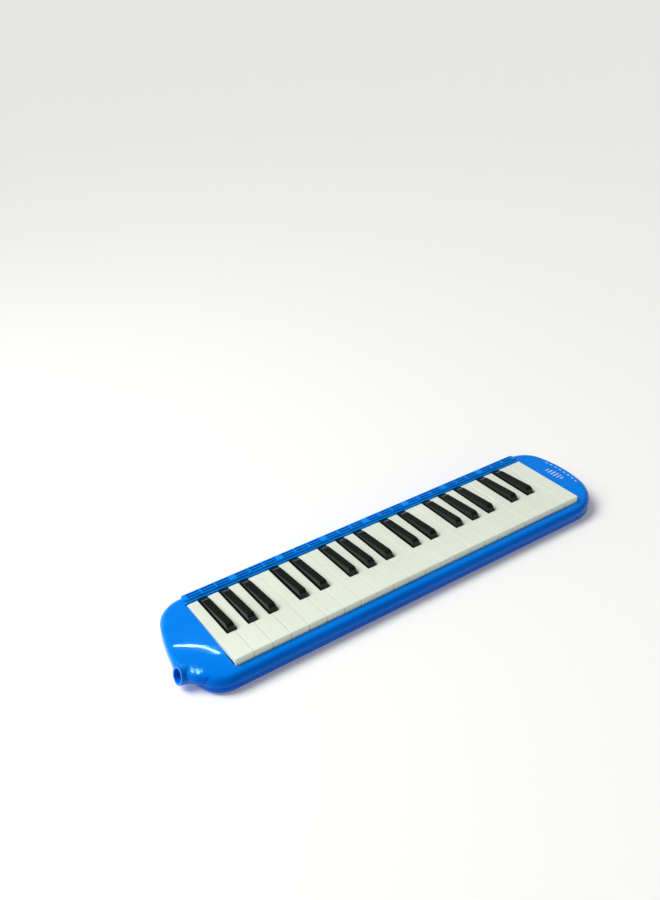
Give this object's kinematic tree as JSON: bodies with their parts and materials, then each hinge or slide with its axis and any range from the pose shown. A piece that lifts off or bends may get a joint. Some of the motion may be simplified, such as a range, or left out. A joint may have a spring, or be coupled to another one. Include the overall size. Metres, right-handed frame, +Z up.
{
  "type": "melodica",
  "caption": "Free-reed keyboard wind instrument: flat case with rounded ends, hinged piano keys, slotted sound rail and an angled mouthpiece socket.",
  "frame": {"origin": "bottom centre of the whole instrument, on the surface it rests on", "axes": "+X along the keyboard towards the high notes, +Y from the player's edge to the sound rail, +Z up"},
  "size_m": [0.4474, 0.1036, 0.0276],
  "materials": {
    "blue_gloss": "glossy moulded ABS, azure blue",
    "blue_gloss_lower": "glossy moulded ABS, azure blue",
    "blue_rail": "satin gloss moulded ABS, blue",
    "blue_socket": "glossy moulded ABS, blue",
    "button_blue": "glossy moulded ABS, blue",
    "key_ivory": "satin moulded plastic, ivory",
    "key_black": "satin moulded plastic, black",
    "inner_plastic": "plain moulded plastic",
    "seal_rubber": "soft moulded rubber",
    "reed_plate_brass": "rolled brass sheet",
    "reed_brass": "filed phosphor bronze",
    "rivet_brass": "turned brass",
    "screw_steel": "zinc plated",
    "axle_steel": "drawn wire",
    "spring_steel": "blued spring strip",
    "felt": "woven felt strip",
    "strap_webbing": "woven nylon webbing",
    "anchor_plastic": "moulded plastic, textured",
    "print_white": "screen-printed white ink"
  },
  "bodies": {
    "case": {"top_case": "blue_gloss", "lower_case": "blue_gloss_lower", "case_screws": "screw_steel", "sound_rail": "blue_rail", "mouthpiece_socket": "blue_socket", "duct_gasket": "seal_rubber", "air_duct": "inner_plastic", "wind_chest": "inner_plastic", "chest_gasket": "seal_rubber", "valve_board": "inner_plastic", "reed_plates": "reed_plate_brass", "reeds": "reed_brass", "reed_rivets": "rivet_brass", "reed_plate_screws": "screw_steel", "key_frame": "inner_plastic", "key_axle": "axle_steel", "key_springs": "spring_steel", "key_stop_felts": "felt", "drain_spring": "spring_steel", "hand_strap": "strap_webbing", "strap_anchors": "anchor_plastic"},
    "white_key_01": {"white_key_01": "key_ivory"},
    "black_key_01": {"black_key_01": "key_black"},
    "white_key_02": {"white_key_02": "key_ivory"},
    "black_key_02": {"black_key_02": "key_black"},
    "white_key_03": {"white_key_03": "key_ivory"},
    "black_key_03": {"black_key_03": "key_black"},
    "white_key_04": {"white_key_04": "key_ivory"},
    "white_key_05": {"white_key_05": "key_ivory"},
    "black_key_04": {"black_key_04": "key_black"},
    "white_key_06": {"white_key_06": "key_ivory"},
    "black_key_05": {"black_key_05": "key_black"},
    "white_key_07": {"white_key_07": "key_ivory"},
    "white_key_08": {"white_key_08": "key_ivory"},
    "black_key_06": {"black_key_06": "key_black"},
    "white_key_09": {"white_key_09": "key_ivory"},
    "black_key_07": {"black_key_07": "key_black"},
    "white_key_10": {"white_key_10": "key_ivory"},
    "black_key_08": {"black_key_08": "key_black"},
    "white_key_11": {"white_key_11": "key_ivory"},
    "white_key_12": {"white_key_12": "key_ivory"},
    "black_key_09": {"black_key_09": "key_black"},
    "white_key_13": {"white_key_13": "key_ivory"},
    "black_key_10": {"black_key_10": "key_black"},
    "white_key_14": {"white_key_14": "key_ivory"},
    "white_key_15": {"white_key_15": "key_ivory"},
    "black_key_11": {"black_key_11": "key_black"},
    "white_key_16": {"white_key_16": "key_ivory"},
    "black_key_12": {"black_key_12": "key_black"},
    "white_key_17": {"white_key_17": "key_ivory"},
    "black_key_13": {"black_key_13": "key_black"},
    "white_key_18": {"white_key_18": "key_ivory"},
    "white_key_19": {"white_key_19": "key_ivory"},
    "black_key_14": {"black_key_14": "key_black"},
    "white_key_20": {"white_key_20": "key_ivory"},
    "black_key_15": {"black_key_15": "key_black"},
    "white_key_21": {"white_key_21": "key_ivory"},
    "white_key_22": {"white_key_22": "key_ivory"},
    "drain_valve": {"drain_button": "button_blue", "drain_seal": "seal_rubber"}
  },
  "joints": [
    {"name": "white_key_01_press", "type": "hinge", "parent": "case", "child": "white_key_01", "pos_m": [-0.17715, 0.02425, 0.0144], "axis": [1, 0, 0], "range_deg": [0, 3.2], "stiffness_Nm_per_rad": 0.12, "springref_deg": -17.19},
    {"name": "black_key_01_press", "type": "hinge", "parent": "case", "child": "black_key_01", "pos_m": [-0.16744, 0.02425, 0.0144], "axis": [1, 0, 0], "range_deg": [0, 4.5], "stiffness_Nm_per_rad": 0.12, "springref_deg": -17.19},
    {"name": "white_key_02_press", "type": "hinge", "parent": "case", "child": "white_key_02", "pos_m": [-0.15772, 0.02425, 0.0144], "axis": [1, 0, 0], "range_deg": [0, 3.2], "stiffness_Nm_per_rad": 0.12, "springref_deg": -17.19},
    {"name": "black_key_02_press", "type": "hinge", "parent": "case", "child": "black_key_02", "pos_m": [-0.14801, 0.02425, 0.0144], "axis": [1, 0, 0], "range_deg": [0, 4.5], "stiffness_Nm_per_rad": 0.12, "springref_deg": -17.19},
    {"name": "white_key_03_press", "type": "hinge", "parent": "case", "child": "white_key_03", "pos_m": [-0.1383, 0.02425, 0.0144], "axis": [1, 0, 0], "range_deg": [0, 3.2], "stiffness_Nm_per_rad": 0.12, "springref_deg": -17.19},
    {"name": "black_key_03_press", "type": "hinge", "parent": "case", "child": "black_key_03", "pos_m": [-0.12858, 0.02425, 0.0144], "axis": [1, 0, 0], "range_deg": [0, 4.5], "stiffness_Nm_per_rad": 0.12, "springref_deg": -17.19},
    {"name": "white_key_04_press", "type": "hinge", "parent": "case", "child": "white_key_04", "pos_m": [-0.11887, 0.02425, 0.0144], "axis": [1, 0, 0], "range_deg": [0, 3.2], "stiffness_Nm_per_rad": 0.12, "springref_deg": -17.19},
    {"name": "white_key_05_press", "type": "hinge", "parent": "case", "child": "white_key_05", "pos_m": [-0.10891, 0.02425, 0.0144], "axis": [1, 0, 0], "range_deg": [0, 3.2], "stiffness_Nm_per_rad": 0.12, "springref_deg": -17.19},
    {"name": "black_key_04_press", "type": "hinge", "parent": "case", "child": "black_key_04", "pos_m": [-0.09871, 0.02425, 0.0144], "axis": [1, 0, 0], "range_deg": [0, 4.5], "stiffness_Nm_per_rad": 0.12, "springref_deg": -17.19},
    {"name": "white_key_06_press", "type": "hinge", "parent": "case", "child": "white_key_06", "pos_m": [-0.08851, 0.02425, 0.0144], "axis": [1, 0, 0], "range_deg": [0, 3.2], "stiffness_Nm_per_rad": 0.12, "springref_deg": -17.19},
    {"name": "black_key_05_press", "type": "hinge", "parent": "case", "child": "black_key_05", "pos_m": [-0.07831, 0.02425, 0.0144], "axis": [1, 0, 0], "range_deg": [0, 4.5], "stiffness_Nm_per_rad": 0.12, "springref_deg": -17.19},
    {"name": "white_key_07_press", "type": "hinge", "parent": "case", "child": "white_key_07", "pos_m": [-0.06811, 0.02425, 0.0144], "axis": [1, 0, 0], "range_deg": [0, 3.2], "stiffness_Nm_per_rad": 0.12, "springref_deg": -17.19},
    {"name": "white_key_08_press", "type": "hinge", "parent": "case", "child": "white_key_08", "pos_m": [-0.05815, 0.02425, 0.0144], "axis": [1, 0, 0], "range_deg": [0, 3.2], "stiffness_Nm_per_rad": 0.12, "springref_deg": -17.19},
    {"name": "black_key_06_press", "type": "hinge", "parent": "case", "child": "black_key_06", "pos_m": [-0.04844, 0.02425, 0.0144], "axis": [1, 0, 0], "range_deg": [0, 4.5], "stiffness_Nm_per_rad": 0.12, "springref_deg": -17.19},
    {"name": "white_key_09_press", "type": "hinge", "parent": "case", "child": "white_key_09", "pos_m": [-0.03872, 0.02425, 0.0144], "axis": [1, 0, 0], "range_deg": [0, 3.2], "stiffness_Nm_per_rad": 0.12, "springref_deg": -17.19},
    {"name": "black_key_07_press", "type": "hinge", "parent": "case", "child": "black_key_07", "pos_m": [-0.02901, 0.02425, 0.0144], "axis": [1, 0, 0], "range_deg": [0, 4.5], "stiffness_Nm_per_rad": 0.12, "springref_deg": -17.19},
    {"name": "white_key_10_press", "type": "hinge", "parent": "case", "child": "white_key_10", "pos_m": [-0.0193, 0.02425, 0.0144], "axis": [1, 0, 0], "range_deg": [0, 3.2], "stiffness_Nm_per_rad": 0.12, "springref_deg": -17.19},
    {"name": "black_key_08_press", "type": "hinge", "parent": "case", "child": "black_key_08", "pos_m": [-0.00958, 0.02425, 0.0144], "axis": [1, 0, 0], "range_deg": [0, 4.5], "stiffness_Nm_per_rad": 0.12, "springref_deg": -17.19},
    {"name": "white_key_11_press", "type": "hinge", "parent": "case", "child": "white_key_11", "pos_m": [0.00013, 0.02425, 0.0144], "axis": [1, 0, 0], "range_deg": [0, 3.2], "stiffness_Nm_per_rad": 0.12, "springref_deg": -17.19},
    {"name": "white_key_12_press", "type": "hinge", "parent": "case", "child": "white_key_12", "pos_m": [0.01009, 0.02425, 0.0144], "axis": [1, 0, 0], "range_deg": [0, 3.2], "stiffness_Nm_per_rad": 0.12, "springref_deg": -17.19},
    {"name": "black_key_09_press", "type": "hinge", "parent": "case", "child": "black_key_09", "pos_m": [0.02029, 0.02425, 0.0144], "axis": [1, 0, 0], "range_deg": [0, 4.5], "stiffness_Nm_per_rad": 0.12, "springref_deg": -17.19},
    {"name": "white_key_13_press", "type": "hinge", "parent": "case", "child": "white_key_13", "pos_m": [0.03049, 0.02425, 0.0144], "axis": [1, 0, 0], "range_deg": [0, 3.2], "stiffness_Nm_per_rad": 0.12, "springref_deg": -17.19},
    {"name": "black_key_10_press", "type": "hinge", "parent": "case", "child": "black_key_10", "pos_m": [0.04069, 0.02425, 0.0144], "axis": [1, 0, 0], "range_deg": [0, 4.5], "stiffness_Nm_per_rad": 0.12, "springref_deg": -17.19},
    {"name": "white_key_14_press", "type": "hinge", "parent": "case", "child": "white_key_14", "pos_m": [0.05089, 0.02425, 0.0144], "axis": [1, 0, 0], "range_deg": [0, 3.2], "stiffness_Nm_per_rad": 0.12, "springref_deg": -17.19},
    {"name": "white_key_15_press", "type": "hinge", "parent": "case", "child": "white_key_15", "pos_m": [0.06085, 0.02425, 0.0144], "axis": [1, 0, 0], "range_deg": [0, 3.2], "stiffness_Nm_per_rad": 0.12, "springref_deg": -17.19},
    {"name": "black_key_11_press", "type": "hinge", "parent": "case", "child": "black_key_11", "pos_m": [0.07056, 0.02425, 0.0144], "axis": [1, 0, 0], "range_deg": [0, 4.5], "stiffness_Nm_per_rad": 0.12, "springref_deg": -17.19},
    {"name": "white_key_16_press", "type": "hinge", "parent": "case", "child": "white_key_16", "pos_m": [0.08028, 0.02425, 0.0144], "axis": [1, 0, 0], "range_deg": [0, 3.2], "stiffness_Nm_per_rad": 0.12, "springref_deg": -17.19},
    {"name": "black_key_12_press", "type": "hinge", "parent": "case", "child": "black_key_12", "pos_m": [0.08999, 0.02425, 0.0144], "axis": [1, 0, 0], "range_deg": [0, 4.5], "stiffness_Nm_per_rad": 0.12, "springref_deg": -17.19},
    {"name": "white_key_17_press", "type": "hinge", "parent": "case", "child": "white_key_17", "pos_m": [0.0997, 0.02425, 0.0144], "axis": [1, 0, 0], "range_deg": [0, 3.2], "stiffness_Nm_per_rad": 0.12, "springref_deg": -17.19},
    {"name": "black_key_13_press", "type": "hinge", "parent": "case", "child": "black_key_13", "pos_m": [0.10942, 0.02425, 0.0144], "axis": [1, 0, 0], "range_deg": [0, 4.5], "stiffness_Nm_per_rad": 0.12, "springref_deg": -17.19},
    {"name": "white_key_18_press", "type": "hinge", "parent": "case", "child": "white_key_18", "pos_m": [0.11913, 0.02425, 0.0144], "axis": [1, 0, 0], "range_deg": [0, 3.2], "stiffness_Nm_per_rad": 0.12, "springref_deg": -17.19},
    {"name": "white_key_19_press", "type": "hinge", "parent": "case", "child": "white_key_19", "pos_m": [0.12909, 0.02425, 0.0144], "axis": [1, 0, 0], "range_deg": [0, 3.2], "stiffness_Nm_per_rad": 0.12, "springref_deg": -17.19},
    {"name": "black_key_14_press", "type": "hinge", "parent": "case", "child": "black_key_14", "pos_m": [0.13929, 0.02425, 0.0144], "axis": [1, 0, 0], "range_deg": [0, 4.5], "stiffness_Nm_per_rad": 0.12, "springref_deg": -17.19},
    {"name": "white_key_20_press", "type": "hinge", "parent": "case", "child": "white_key_20", "pos_m": [0.14949, 0.02425, 0.0144], "axis": [1, 0, 0], "range_deg": [0, 3.2], "stiffness_Nm_per_rad": 0.12, "springref_deg": -17.19},
    {"name": "black_key_15_press", "type": "hinge", "parent": "case", "child": "black_key_15", "pos_m": [0.15969, 0.02425, 0.0144], "axis": [1, 0, 0], "range_deg": [0, 4.5], "stiffness_Nm_per_rad": 0.12, "springref_deg": -17.19},
    {"name": "white_key_21_press", "type": "hinge", "parent": "case", "child": "white_key_21", "pos_m": [0.16989, 0.02425, 0.0144], "axis": [1, 0, 0], "range_deg": [0, 3.2], "stiffness_Nm_per_rad": 0.12, "springref_deg": -17.19},
    {"name": "white_key_22_press", "type": "hinge", "parent": "case", "child": "white_key_22", "pos_m": [0.17985, 0.02425, 0.0144], "axis": [1, 0, 0], "range_deg": [0, 3.2], "stiffness_Nm_per_rad": 0.12, "springref_deg": -17.19},
    {"name": "drain_press", "type": "slide", "parent": "case", "child": "drain_valve", "axis": [-1, 0, 0], "range_m": [0, 0.002], "stiffness_N_per_m": 300, "springref_m": -0.003}
  ]
}
